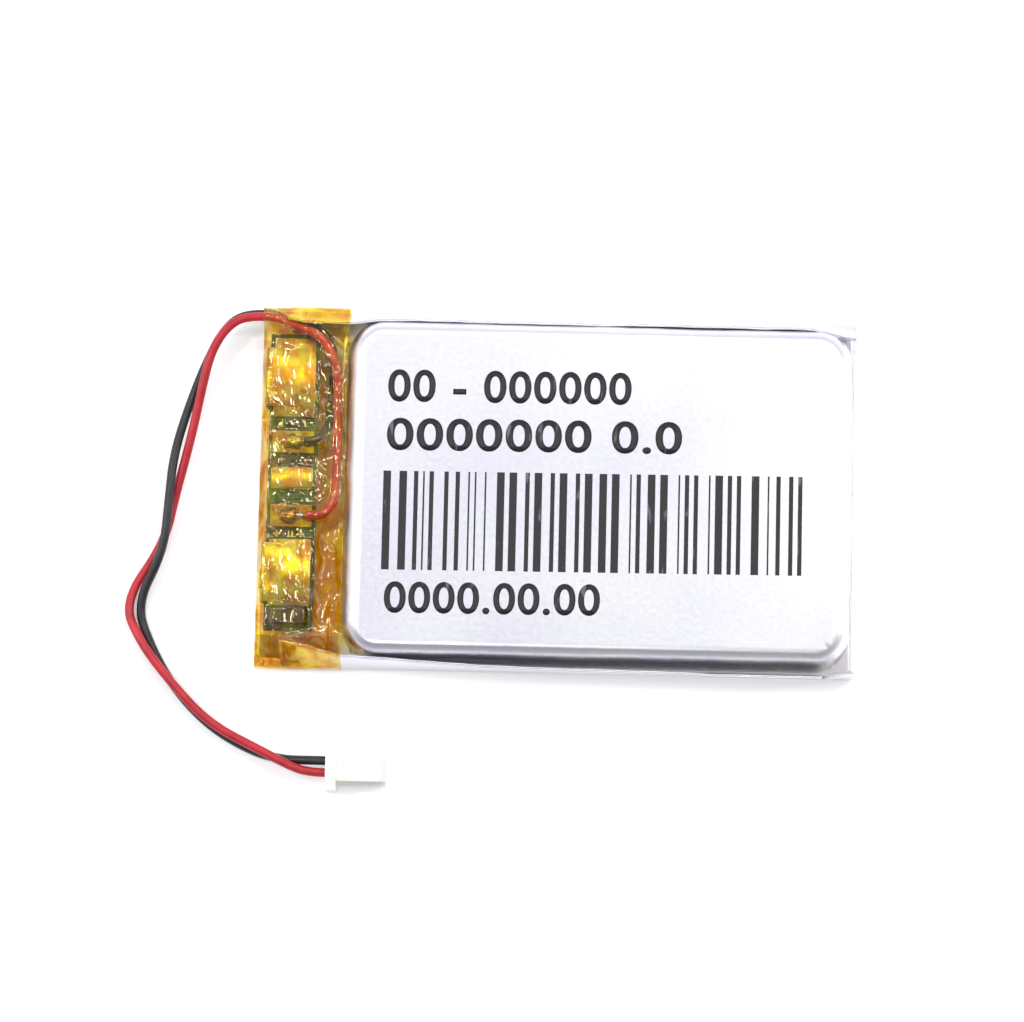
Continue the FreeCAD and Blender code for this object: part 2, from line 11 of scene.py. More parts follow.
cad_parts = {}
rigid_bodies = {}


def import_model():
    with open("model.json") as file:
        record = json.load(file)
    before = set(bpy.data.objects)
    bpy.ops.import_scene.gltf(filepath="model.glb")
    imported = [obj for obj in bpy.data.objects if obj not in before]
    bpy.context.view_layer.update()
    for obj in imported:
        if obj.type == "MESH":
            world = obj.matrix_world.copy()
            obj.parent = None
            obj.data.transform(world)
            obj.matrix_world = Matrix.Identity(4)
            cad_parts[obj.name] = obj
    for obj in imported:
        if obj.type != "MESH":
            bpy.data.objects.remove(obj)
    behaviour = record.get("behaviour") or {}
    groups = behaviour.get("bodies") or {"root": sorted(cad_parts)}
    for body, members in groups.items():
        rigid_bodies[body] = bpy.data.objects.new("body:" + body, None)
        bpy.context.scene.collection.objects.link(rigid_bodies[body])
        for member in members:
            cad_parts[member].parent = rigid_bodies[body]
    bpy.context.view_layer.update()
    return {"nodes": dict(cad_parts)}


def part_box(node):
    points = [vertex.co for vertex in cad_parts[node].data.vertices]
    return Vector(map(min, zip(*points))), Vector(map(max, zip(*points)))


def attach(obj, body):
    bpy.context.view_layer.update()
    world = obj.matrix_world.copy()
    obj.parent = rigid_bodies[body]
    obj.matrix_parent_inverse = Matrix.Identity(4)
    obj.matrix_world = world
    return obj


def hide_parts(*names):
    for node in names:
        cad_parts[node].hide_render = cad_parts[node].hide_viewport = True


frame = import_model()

nodes = frame["nodes"]
MM = 0.001

# ---- Camera -----------------------------------------------------------------------------
# The cell lies on its back and is looked at from almost straight above, a little from its
# lead side, so that the near side seal shows its outer face.
CAMERA_AIM = Vector((-3.7 * MM, -1.5 * MM, 1.0 * MM))
CAMERA_DISTANCE = 300 * MM
CAMERA_ELEVATION = math.radians(83.5)
CAMERA_TURN = math.radians(1.3)
image_up = Vector((-math.sin(CAMERA_TURN), math.cos(CAMERA_TURN), 0))
back_off = Vector((0, 0, math.sin(CAMERA_ELEVATION))) - image_up * math.cos(CAMERA_ELEVATION)
camera_data = bpy.data.cameras.new("camera")
camera_data.lens = 125
camera_data.sensor_width = 36
camera_data.clip_start = 0.01
camera = bpy.data.objects.new("camera", camera_data)
bpy.context.scene.collection.objects.link(camera)
camera_right = image_up.cross(back_off).normalized()
camera_up = back_off.cross(camera_right)
camera.matrix_world = Matrix.Translation(CAMERA_AIM + back_off * CAMERA_DISTANCE) @ Matrix(
    (camera_right, camera_up, back_off)).transposed().to_4x4()
bpy.context.scene.camera = camera


# ---- Free leads -------------------------------------------------------------------------
# Two thin hook-up wires, tinned strands in soft extruded vinyl, one red and one black.
# They leave the film wrap at its corner, cross each other loosely and end in the housing.
def paint(code):
    """A hex colour as the linear values that shaders take."""
    channels = [int(code[i:i + 2], 16) / 255 for i in (0, 2, 4)]
    linear = [c / 12.92 if c <= 0.04045 else ((c + 0.055) / 1.055) ** 2.4 for c in channels]
    return (*linear, 1.0)


def add(tree, kind, settings=None, **links):
    """Add one shader node: its properties and socket values, then its links by socket."""
    node = tree.nodes.new("ShaderNode" + kind)
    for name, value in (settings or {}).items():
        if hasattr(node, name):
            setattr(node, name, value)
        else:
            node.inputs[name].default_value = value
    for name, source in links.items():
        socket = node.inputs[int(name[1:]) if name[1:].isdigit() else name.replace("_", " ")]
        tree.links.new(source, socket)
    return node


def start_finish(name, colour, roughness, metallic=0.0, **more):
    """A new material with its shader and Object coordinates."""
    material = bpy.data.materials.new(name)
    material.use_nodes = True
    tree = material.node_tree
    shader = tree.nodes["Principled BSDF"]
    shader.inputs["Base Color"].default_value = paint(colour)
    shader.inputs["Roughness"].default_value = roughness
    shader.inputs["Metallic"].default_value = metallic
    for name, value in more.items():
        shader.inputs[name.replace("_", " ")].default_value = value
    place = add(tree, "TexCoord").outputs["Object"]
    return material, tree, shader, place


def grain(tree, place, size_mm, detail=3.0, stretch=(1, 1, 1)):
    """Noise whose lumps are size_mm across, from 0 to 1."""
    spread = add(tree, "Mapping", {"Scale": stretch}, Vector=place)
    return add(tree, "TexNoise", {"Scale": 1000 / size_mm, "Detail": detail},
               Vector=spread.outputs[0]).outputs["Fac"]


def two_tones(tree, factor, low, high, low_hex, high_hex):
    """One tone to another as factor goes from low to high."""
    ramp = add(tree, "ValToRGB", Fac=factor)
    stops = ramp.color_ramp.elements
    stops[0].position = low
    stops[0].color = paint(low_hex)
    stops[1].position = high
    stops[1].color = paint(high_hex)
    return ramp.outputs[0]


def vary_colour(tree, shader, factor, low, high, low_hex, high_hex):
    """Colour the shader from one tone to another as factor goes from low to high."""
    tones = two_tones(tree, factor, low, high, low_hex, high_hex)
    tree.links.new(tones, shader.inputs["Base Color"])


def vary_roughness(tree, shader, factor, low, high):
    """Roughness from low to high as factor goes from 0 to 1."""
    spread = add(tree, "MapRange", {"To Min": low, "To Max": high}, Value=factor)
    tree.links.new(spread.outputs[0], shader.inputs["Roughness"])


def raise_bump(tree, shader, height, depth_mm, strength=1.0):
    """Relief of depth_mm from a height of 0 to 1."""
    bump = add(tree, "Bump", {"Distance": depth_mm * MM, "Strength": strength}, Height=height)
    tree.links.new(bump.outputs[0], shader.inputs["Normal"])


def soft_vinyl(name, dark, light):
    """Extruded soft PVC: a satin skin with faint dust and slow changes of tone."""
    material, tree, shader, place = start_finish(name, light, 0.38, IOR=1.53)
    vary_colour(tree, shader, grain(tree, place, 1.6), 0.3, 0.7, dark, light)
    vary_roughness(tree, shader, grain(tree, place, 0.5), 0.28, 0.5)
    raise_bump(tree, shader, grain(tree, place, 0.25), 0.012)
    return material


WIRE = 0.76 * MM
lead_exit = Vector((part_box("kapton_wrap")[0].x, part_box("circuit_board")[1].y, 0))
RED_ROUTE = [
    (0.00000, 0.00140, 0.00265),
    (-0.00150, 0.00140, 0.00265),
    (-0.00300, 0.00045, 0.00270),
    (-0.00425, -0.00160, 0.00270),
    (-0.00500, -0.00490, 0.00235),
    (-0.00575, -0.00875, 0.00170),
    (-0.00700, -0.01355, 0.00080),
    (-0.00790, -0.01785, 0.00042),
    (-0.01120, -0.02285, 0.00040),
    (-0.00950, -0.02635, 0.00120),
    (-0.00700, -0.02945, 0.00125),
    (-0.00360, -0.03295, 0.00122),
    (0.00070, -0.03505, 0.00140),
    (0.00320, -0.03630, 0.00175),
    (0.00480, -0.03685, 0.00150),
    (0.00635, -0.03685, 0.00150),
]
BLACK_ROUTE = [
    (0.00000, 0.00175, 0.00180),
    (-0.00150, 0.00175, 0.00180),
    (-0.00305, 0.00075, 0.00175),
    (-0.00445, -0.00175, 0.00165),
    (-0.00605, -0.00605, 0.00155),
    (-0.00725, -0.01035, 0.00150),
    (-0.00750, -0.01415, 0.00170),
    (-0.00780, -0.01855, 0.00165),
    (-0.01010, -0.02305, 0.00040),
    (-0.00870, -0.02665, 0.00040),
    (-0.00665, -0.03005, 0.00040),
    (-0.00370, -0.03310, 0.00040),
    (-0.00005, -0.03515, 0.00040),
    (0.00255, -0.03580, 0.00085),
    (0.00465, -0.03585, 0.00150),
    (0.00635, -0.03585, 0.00150),
]


def free_lead(name, route, finish):
    """A lead as one smooth curve of its real diameter."""
    curve = bpy.data.curves.new(name, "CURVE")
    curve.dimensions = "3D"
    spline = curve.splines.new("NURBS")
    spline.points.add(len(route) - 1)
    for point, offset in zip(spline.points, route):
        point.co = (*(lead_exit + Vector(offset)), 1)
    spline.order_u = 3
    spline.use_endpoint_u = True
    spline.resolution_u = 10
    curve.bevel_depth = WIRE / 2
    curve.bevel_resolution = 6
    curve.use_fill_caps = True
    curve.materials.append(finish)
    lead = bpy.data.objects.new(name, curve)
    bpy.context.scene.collection.objects.link(lead)
    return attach(lead, "root")


red_vinyl = soft_vinyl("red_soft_vinyl", "a8121f", "cf2233")
black_vinyl = soft_vinyl("black_soft_vinyl", "121214", "26272b")
red_lead = free_lead("red_free_lead", RED_ROUTE, red_vinyl)
black_lead = free_lead("black_free_lead", BLACK_ROUTE, black_vinyl)
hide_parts("red_lead")
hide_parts("black_lead")


# ---- Connector --------------------------------------------------------------------------
# A two-way crimp housing moulded in natural white nylon, with a flange at the wire end and
# windows under its tin-plated bronze terminals. The moulding has small round edges.
def piece_from(name, mesh, finish, body="root"):
    """A new object of a finished bmesh, riding on its body."""
    data = bpy.data.meshes.new(name)
    mesh.to_mesh(data)
    mesh.free()
    data.materials.append(finish)
    piece = bpy.data.objects.new(name, data)
    bpy.context.scene.collection.objects.link(piece)
    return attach(piece, body)


def shade(piece, angle=30):
    """Smooth faces with crisp edges above the angle."""
    piece.data.polygons.foreach_set("use_smooth", [True] * len(piece.data.polygons))
    piece.data.set_sharp_from_angle(angle=math.radians(angle))


def softened(node, name, edge_mm, finish, segments=2):
    """A copy of a CAD piece with its sharp edges rounded, standing for that piece."""
    mesh = bmesh.new()
    mesh.from_mesh(nodes[node].data)
    bmesh.ops.remove_doubles(mesh, verts=mesh.verts, dist=0.002 * MM)
    bmesh.ops.dissolve_limit(mesh, angle_limit=math.radians(1), verts=mesh.verts, edges=mesh.edges)
    sharp = [e for e in mesh.edges if e.is_manifold and e.calc_face_angle() > math.radians(40)]
    bmesh.ops.bevel(mesh, geom=sharp, offset=edge_mm * MM, offset_type="OFFSET", affect="EDGES",
                    segments=segments, profile=0.5, material=-1, clamp_overlap=True)
    piece = piece_from(name, mesh, finish)
    shade(piece, 50)
    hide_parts(node)
    return piece


def natural_nylon():
    """Moulded natural nylon 66: off-white, a little see-through, satin from the mould."""
    material, tree, shader, place = start_finish("natural_white_nylon", "fbf9f2", 0.42, IOR=1.53,
                                                 Subsurface_Weight=0.25, Subsurface_Scale=0.0006)
    shader.inputs["Subsurface Radius"].default_value = (1.0, 0.8, 0.5)
    vary_colour(tree, shader, grain(tree, place, 1.8), 0.3, 0.7, "f7f3e8", "fdfcf7")
    raise_bump(tree, shader, grain(tree, place, 0.12), 0.006)
    return material


def tin_plate(name, dark, light, roughness):
    """Bright tin: a cloudy, slightly drawn grey metal."""
    material, tree, shader, place = start_finish(name, light, roughness, 1.0)
    vary_colour(tree, shader, grain(tree, place, 0.6), 0.3, 0.7, dark, light)
    vary_roughness(tree, shader, grain(tree, place, 0.3), roughness * 0.7, roughness * 1.3)
    raise_bump(tree, shader, grain(tree, place, 0.2), 0.01)
    return material


nylon = natural_nylon()
tin = tin_plate("bright_tin_plate", "a9a9a6", "cfcfcb", 0.3)
housing = softened("connector_housing", "crimp_housing", 0.09, nylon)


# ---- Pouch, flat half with the side seals -----------------------------------------------
# Nylon-faced aluminium laminate, folded at the far end, heat-sealed to the cup half along
# both sides and the tab end. The side seals are folded up by hand, so they lean unevenly.
LAMINATE = 0.12 * MM
FOLD_RADIUS = 0.3 * MM
FOLD_TOP = 3.4 * MM
BACK_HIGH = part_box("pouch_back")[1]
FOLD_Y = BACK_HIGH.y - LAMINATE
CUP_LOW, CUP_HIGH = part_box("pouch_cup")
SEAL_X = CUP_LOW.x
TERRACE = 5.0 * MM
CUP_FRONT = SEAL_X + TERRACE
CUP_END = BACK_HIGH.x - 0.2 * MM
CUP_HALF = 14.6 * MM
CUP_CORNER = 3.2 * MM
TERRACE_LIFT = 0.10 * MM


def ease(value, start, end):
    """0 before start, 1 after end, smooth between."""
    t = min(max((value - start) / (end - start), 0.0), 1.0)
    return t * t * (3 - 2 * t)


def ripple(x, y, size_mm, seed):
    """Slow smooth unevenness from -1 to 1."""
    return noise.noise(Vector((x / (size_mm * MM), y / (size_mm * MM), seed)))


def fold_lean(side, x):
    """Degrees that a side seal leans in at x: uneven, and pressed over at the ends."""
    if side > 0:
        lean = 15.2 + 1.6 * ripple(x, 0, 7, 3.1) + 0.9 * ripple(x, 0, 2.2, 9.4)
        lean += 7 * ease(-x, 14.5 * MM, 18 * MM) - 5 * ease(-x, 21 * MM, 22.9 * MM)
        return lean + 16 * ease(x, 21.0 * MM, 24.8 * MM)
    lean = 13.5 - 13 * ease(x, -19 * MM, -1 * MM) - 4.0 * ease(x, 2 * MM, 19 * MM)
    lean += 30 * min(max((-x - 17.9 * MM) / (4.8 * MM), 0), 1)
    lean += 1.4 * ripple(x, 5, 8, 7.7) + 0.9 * ripple(x, 5, 2.4, 1.9)
    return lean + 9 * ease(x, 22.5 * MM, 24.9 * MM)


def fold_point(distance, side, x, offset, lift):
    """A point of the laminate across the cell, by its distance along it from the middle.

    offset is the distance outwards from the plane between the two layers.
    """
    lean = math.radians(fold_lean(side, x))
    flat = FOLD_Y - FOLD_RADIUS
    turn = math.pi / 2 + lean
    if distance <= flat:
        return distance, LAMINATE - offset + lift
    radius = FOLD_RADIUS + offset
    angle = (distance - flat) / FOLD_RADIUS
    if angle < turn:
        return (flat + radius * math.sin(angle),
                LAMINATE + FOLD_RADIUS - radius * math.cos(angle) + lift)
    rise = distance - flat - turn * FOLD_RADIUS
    return (flat + radius * math.cos(lean) - rise * math.sin(lean),
            LAMINATE + FOLD_RADIUS + radius * math.sin(lean) + rise * math.cos(lean) + lift)


def laminate_sheet(offset, x_end, hole):
    """One laminate layer as a thin sheet: flat, with both side seals folded up."""
    along = 260
    across = 150
    flat = FOLD_Y - FOLD_RADIUS
    bend = FOLD_RADIUS * math.pi / 2
    total = flat + bend + FOLD_TOP - LAMINATE - FOLD_RADIUS + 0.06 * MM
    mesh = bmesh.new()
    bmesh.ops.create_grid(mesh, x_segments=along, y_segments=across, size=1.0)
    for vert in mesh.verts:
        x = SEAL_X + (vert.co.x + 1) / 2 * (x_end - SEAL_X)
        side = 1 if vert.co.y >= 0 else -1
        share = abs(vert.co.y)
        # a third of the columns lie on the wide flat, the rest on the bend and the fold
        if share < 0.34:
            distance = share / 0.34 * (flat - 0.4 * MM)
        else:
            distance = flat - 0.4 * MM + (share - 0.34) / 0.66 * (total - flat + 0.4 * MM)
        top = total + 0.10 * MM * ripple(x, side, 4.5, 2.6) - 0.25 * MM * ease(x, 22 * MM, 25 * MM)
        distance *= top / total if share >= 0.999 else 1.0
        lift = TERRACE_LIFT * (1 - ease(x, CUP_FRONT - 0.4 * MM, CUP_FRONT))
        y, z = fold_point(distance, side, x, offset, lift)
        vert.co = (x, side * y, z)
    if hole:
        inside = [f for f in mesh.faces if within_cup(f.calc_center_median(), 0.35 * MM)]
        bmesh.ops.delete(mesh, geom=inside, context="FACES")
    bmesh.ops.recalc_face_normals(mesh, faces=mesh.faces)
    if min(mesh.faces, key=lambda f: f.calc_center_median().z).normal.z < 0:
        bmesh.ops.reverse_faces(mesh, faces=mesh.faces)
    return mesh


def within_cup(point, margin):
    """True inside the cup's rounded outline, margin in from it, on the flat."""
    if point.z > 0.5 * MM:
        return False
    middle_x = (CUP_FRONT + CUP_END) / 2
    dx = abs(point.x - middle_x) - ((CUP_END - CUP_FRONT) / 2 - CUP_CORNER)
    dy = abs(point.y) - (CUP_HALF - CUP_CORNER)
    reach = math.hypot(max(dx, 0), max(dy, 0)) + min(max(dx, dy), 0)
    return reach < CUP_CORNER - margin


def thicken(piece, thickness, offset=0.0):
    """Give a sheet its thickness."""
    solid = piece.modifiers.new("thickness", "SOLIDIFY")
    solid.thickness = thickness
    solid.offset = offset
    return piece


def pouch_laminate():
    """Aluminium foil under a clear nylon face: bright, satin, with fine mottling.

    Its colour is painted greyer towards the foot of the walls and folds: painted shade where they
    meet the flat, with a noisy edge.

    The mottling is the cold-formed nylon; slow waves bend its reflections.
    """
    material, tree, shader, place = start_finish("nylon_faced_aluminium_laminate", "e9e9ee",
                                                 0.3, 1.0)
    slow = grain(tree, place, 14, 2)
    # painted shade: the laminate is painted greyer the lower it lies, white from 3.6 mm up, greyest
    # below 0.9 mm
    height = add(tree, "SeparateXYZ", Vector=place).outputs["Z"]
    crease = grain(tree, place, 2.5, 4, (0.5, 1, 1))
    lifted = add(tree, "Math", {"operation": "MULTIPLY_ADD", "Value_001": 1.6 * MM},
                 _0=crease, _2=height)
    drawn = add(tree, "MapRange", {"From Min": 0.9 * MM, "From Max": 3.6 * MM},
                Value=lifted.outputs[0])
    # painted shade tones: greyish at the foot, white higher up
    painted_foot_shade = two_tones(tree, drawn.outputs[0], 0.0, 1.0, "dddad6", "ffffff")
    mottled = two_tones(tree, slow, 0.3, 0.7, "e4e3ee", "f1f1f3")
    both = add(tree, "VectorMath", {"operation": "MULTIPLY"}, _0=painted_foot_shade, _1=mottled)
    tree.links.new(both.outputs[0], shader.inputs["Base Color"])
    fine = grain(tree, place, 0.35, 5)
    vary_roughness(tree, shader, fine, 0.24, 0.42)
    mixed = add(tree, "Math", {"operation": "MULTIPLY_ADD", "Value_001": 0.12},
                _0=fine, _2=slow)
    raise_bump(tree, shader, mixed.outputs[0], 0.05)
    return material


laminate = pouch_laminate()
back_sheet = laminate_sheet(LAMINATE / 2, BACK_HIGH.x, False)
back = piece_from("pouch_flat_half", back_sheet, laminate)
shade(back, 60)
thicken(back, LAMINATE)
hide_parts("pouch_back")


# ---- Pouch, pressed cup -----------------------------------------------------------------
# The same laminate drawn over a punch: a shallow tray upside down, with a soft rim, walls
# that lean more along the sides than at the ends, and small draw wrinkles at its corners.
CUP_TOP = CUP_HIGH.z
RIM_WIDE = 1.15 * MM
RIM_TALL = 2.1 * MM
RIM_ARC = math.radians(74)
CUP_DRAFT = math.tan(math.radians(4))
CUP_SIDE_DRAFT = math.tan(math.radians(9))


def face_sag(x, y):
    """Height of the printed face's gentle unevenness at x, y."""
    return 0.035 * MM * ripple(x, y, 11, 4.2) + 0.012 * MM * ripple(x, y, 4, 8.8)


def cup_mesh():
    """The cup as a dome: outline, walls and round rim, then a grid over its face."""
    mesh = bmesh.new()
    bmesh.ops.create_grid(mesh, x_segments=1, y_segments=1, size=0.5)
    rise = CUP_TOP - RIM_TALL - LAMINATE
    top_in = rise * CUP_DRAFT
    side_in = rise * CUP_SIDE_DRAFT
    size = Vector((CUP_END - CUP_FRONT - 2 * top_in, 2 * (CUP_HALF - side_in), 1))
    middle = Vector(((CUP_FRONT + CUP_END) / 2, 0, CUP_TOP - RIM_TALL))
    for vert in mesh.verts:
        vert.co = Vector((vert.co.x * size.x, vert.co.y * size.y, 0)) + middle
    bmesh.ops.bevel(mesh, geom=mesh.verts[:], offset=CUP_CORNER - top_in, offset_type="OFFSET",
                    affect="VERTICES", segments=16, profile=0.5, material=-1)
    straight = [e for e in mesh.edges if e.calc_length() > 5 * MM]
    bmesh.ops.subdivide_edges(mesh, edges=straight, cuts=60)
    face = max(mesh.faces, key=lambda f: f.calc_area())
    # walls first: the outline is drawn down and out to the flange
    walls = bmesh.ops.extrude_edge_only(mesh, edges=list(face.edges))
    lowered = [g for g in walls["geom"] if isinstance(g, bmesh.types.BMVert)]
    for vert in lowered:
        outward = vert.co - middle
        outward.x = math.copysign(max(abs(outward.x) - size.x / 2 + CUP_CORNER, 0), outward.x)
        outward.y = math.copysign(max(abs(outward.y) - size.y / 2 + CUP_CORNER, 0), outward.y)
        outward.z = 0
        outward.normalize()
        vert.co.x += outward.x * top_in
        vert.co.y += outward.y * side_in
        vert.co.z = LAMINATE
    uprights = [e for e in mesh.edges if abs(e.verts[0].co.z - e.verts[1].co.z) > MM]
    bmesh.ops.subdivide_edges(mesh, edges=uprights, cuts=7, use_grid_fill=True)
    # then the rim, in rings up an arc that stops just short of flat and leaves a crease
    steps = 10
    face = max(mesh.faces, key=lambda f: f.calc_area())
    for step in range(steps):
        a, b = (RIM_ARC * s / steps for s in (step, step + 1))
        inwards = RIM_WIDE * (math.cos(a) - math.cos(b)) / (1 - math.cos(RIM_ARC))
        bmesh.ops.inset_region(mesh, faces=[face], thickness=inwards, depth=0,
                               use_even_offset=True, use_boundary=True)
        for vert in face.verts:
            vert.co.z = CUP_TOP - RIM_TALL + RIM_TALL * math.sin(b) / math.sin(RIM_ARC)
    bmesh.ops.inset_region(mesh, faces=[face], thickness=0.7 * MM, depth=0, use_even_offset=True)
    for cut in range(1, 24):
        x = CUP_FRONT + cut / 24 * (CUP_END - CUP_FRONT)
        bmesh.ops.bisect_plane(mesh, geom=top_geometry(mesh),
                               plane_co=(x, 0, 0), plane_no=(1, 0, 0))
    for cut in range(1, 16):
        y = -CUP_HALF + cut / 16 * 2 * CUP_HALF
        bmesh.ops.bisect_plane(mesh, geom=top_geometry(mesh),
                               plane_co=(0, y, 0), plane_no=(0, 1, 0))
    for vert in mesh.verts:
        x, y, z = vert.co
        height = (z - LAMINATE) / (CUP_TOP - LAMINATE)
        vert.co.z += face_sag(x, y) * height
        ends = ease(abs(x - middle.x), size.x / 2 - 5 * MM, size.x / 2)
        wall = math.sin(math.pi * min(max(height, 0), 1))
        push = wall * (0.05 + 0.07 * ends) * MM * ripple(x, y, 1.6, 6.6)
        push += wall * 0.07 * MM * ripple(x, y, 6, 1.4)
        flat_out = Vector((x - middle.x, y, 0))
        vert.co += flat_out.normalized() * push
    bmesh.ops.remove_doubles(mesh, verts=mesh.verts, dist=0.001 * MM)
    bmesh.ops.recalc_face_normals(mesh, faces=mesh.faces)
    return mesh


def top_geometry(mesh):
    """The printed face's faces, edges and corners, for cutting it into a grid."""
    faces = [f for f in mesh.faces if f.calc_center_median().z > CUP_TOP - 0.001 * MM]
    edges = {e for f in faces for e in f.edges}
    verts = {v for f in faces for v in f.verts}
    return faces + list(edges) + list(verts)


dome = cup_mesh()
flange = laminate_sheet(-LAMINATE, BACK_HIGH.x - LAMINATE, True)
flange_data = bpy.data.meshes.new("flange")
flange.to_mesh(flange_data)
flange.free()
dome.from_mesh(flange_data)
cup = piece_from("pouch_cup_half", dome, laminate)
shade(cup, 60)
thicken(cup, LAMINATE, -1.0)
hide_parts("pouch_cup")


# ---- Printing on the face ---------------------------------------------------------------
# Black marking ink, screened thin onto the nylon face: two rows of plain noughts, a block
# of bars that encodes nothing, and a third row. Handling has scratched it.
INK = 0.012 * MM
PRINT_X = -14.3 * MM
STAMP_SKEW = math.tan(math.radians(0.4))


def marking_ink():
    """Solvent ink: matt near-black, worn through in fine scratches."""
    material, tree, shader, place = start_finish("black_marking_ink", "26262a", 0.55, IOR=1.5)
    scratch = grain(tree, place, 1.5, 4, (2.2, 0.5, 1))
    vary_colour(tree, shader, scratch, 0.63, 0.70, "222226", "6c6c72")
    vary_roughness(tree, shader, grain(tree, place, 0.4), 0.45, 0.65)
    return material


ink = marking_ink()


def lay_on_face(mesh):
    """Drop a flat mesh onto the uneven printed face, a little askew as the stamp was."""
    for vert in mesh.verts:
        vert.co.y += (vert.co.x - PRINT_X) * STAMP_SKEW
        vert.co.z += CUP_TOP + face_sag(vert.co.x, vert.co.y) + INK / 2


def printed_row(name, text, x, y, height_mm, width_mm):
    """A row of bold characters, height_mm tall, as a thin mesh on the face."""
    curve = bpy.data.curves.new(name, "FONT")
    curve.body = text
    curve.size = 1.0
    curve.offset = 0.018
    curve.space_character = 1.06
    writer = bpy.data.objects.new(name + "_type", curve)
    bpy.context.scene.collection.objects.link(writer)
    bpy.context.view_layer.update()
    data = bpy.data.meshes.new_from_object(writer)
    bpy.data.objects.remove(writer)
    mesh = bmesh.new()
    mesh.from_mesh(data)
    bmesh.ops.remove_doubles(mesh, verts=mesh.verts, dist=1e-5)
    low = Vector((min(v.co.x for v in mesh.verts), min(v.co.y for v in mesh.verts)))
    high = Vector((max(v.co.x for v in mesh.verts), max(v.co.y for v in mesh.verts)))
    for vert in mesh.verts:
        vert.co = (x + (vert.co.x - low.x) / (high.x - low.x) * width_mm * MM,
                   y + ((vert.co.y - low.y) / (high.y - low.y) - 0.5) * height_mm * MM, 0)
    lay_on_face(mesh)
    row = piece_from(name, mesh, ink)
    thicken(row, INK)
    return row


def bar_block(name, x0, x1, y0, y1):
    """Upright bars of three widths in a seeded order."""
    rng = random.Random(27)
    widths = (0.14, 0.36, 0.64)
    mesh = bmesh.new()
    x = x0
    while x < x1 - 0.7 * MM:
        width = rng.choice(widths) * MM
        gap = rng.choice((0.40, 0.40, 0.58, 0.70, 0.88)) * MM
        made = bmesh.ops.create_grid(mesh, x_segments=1, y_segments=6, size=0.5)
        for vert in made["verts"]:
            vert.co = (x + (vert.co.x + 0.5) * width, y0 + (vert.co.y + 0.5) * (y1 - y0), 0)
        x += width + gap
    lay_on_face(mesh)
    block = piece_from(name, mesh, ink)
    thicken(block, INK)
    return block


printed_row("printed_row_one", "00 - 000000", PRINT_X, 8.5 * MM, 2.75, 20.4)
printed_row("printed_row_two", "0000000 0.0", PRINT_X, 4.4 * MM, 2.75, 24.7)
bar_block("printed_bars", PRINT_X - 0.2 * MM, 20.9 * MM, -7.0 * MM, 1.3 * MM)
printed_row("printed_row_three", "0000.00.00", PRINT_X + 0.1 * MM, -9.3 * MM, 2.65, 18.0)


# ---- Protection board -------------------------------------------------------------------
# Glass-epoxy board with green solder mask, tinned lands, two nickel plates and a test pad.
# It lies on an insulating strip on the tab seal; its chips hang underneath.
def solder_mask():
    """Green mask over etched tracks: glossy, darker where there is copper underneath."""
    material, tree, shader, place = start_finish("green_solder_mask", "2c5a2c", 0.3, IOR=1.52)
    tracks = add(tree, "TexBrick", {"Scale": 1000 / 1.1, "Mortar Size": 0.08, "Color1": (1, 1, 1, 1),
                                    "Color2": (0.6, 0.6, 0.6, 1), "Mortar": (0, 0, 0, 1)},
                 Vector=place)
    vary_colour(tree, shader, tracks.outputs["Color"], 0.1, 0.9, "174418", "2c6a28")
    raise_bump(tree, shader, tracks.outputs["Color"], 0.02)
    return material


def rolled_nickel():
    """Rolled nickel strip: warm grey metal with fine lines along the roll."""
    material, tree, shader, place = start_finish("rolled_nickel", "dcd6c6", 0.34, 1.0)
    lines = grain(tree, place, 0.5, 4, (14, 0.6, 1))
    vary_colour(tree, shader, lines, 0.3, 0.7, "c6c0b0", "e6e0d0")
    vary_roughness(tree, shader, lines, 0.22, 0.42)
    raise_bump(tree, shader, lines, 0.01)
    return material


def finish_node(node, finish):
    """Give a CAD piece its finish."""
    slots = nodes[node].material_slots
    for slot in slots:
        slot.material = finish
    if not slots:
        nodes[node].data.materials.append(finish)


def black_epoxy():
    """Chip packages: matt black moulded epoxy."""
    material, tree, shader, place = start_finish("moulded_black_epoxy", "1c1c1e", 0.6, IOR=1.55)
    vary_colour(tree, shader, grain(tree, place, 0.3), 0.3, 0.7, "161618", "2a2a2c")
    raise_bump(tree, shader, grain(tree, place, 0.1), 0.01)
    return material


nickel = rolled_nickel()
epoxy = black_epoxy()
board = softened("circuit_board", "protection_board", 0.05, solder_mask())
for node, name in (("negative_nickel_plate", "negative_plate"),
                   ("positive_nickel_plate", "positive_plate"), ("test_pad", "small_test_pad"),
                   ("negative_tab", "negative_cell_tab")):
    softened(node, name, 0.02, nickel, 1)
for node in ("board_lands", "chip_legs", "red_terminal", "black_terminal",
             "red_lead_strands", "black_lead_strands"):
    finish_node(node, tin)
thermistor = softened("end_thermistor", "end_sensor", 0.08, epoxy)
for node in ("protection_chip", "twin_transistor", "chip_resistors"):
    finish_node(node, epoxy)
finish_node("red_lead_inner", red_vinyl)
finish_node("black_lead_inner", black_vinyl)


# ---- Board marks ------------------------------------------------------------------------
# Screened white epoxy ink on the mask: plain plus signs, dashes and short bars.
MARK = 0.012 * MM


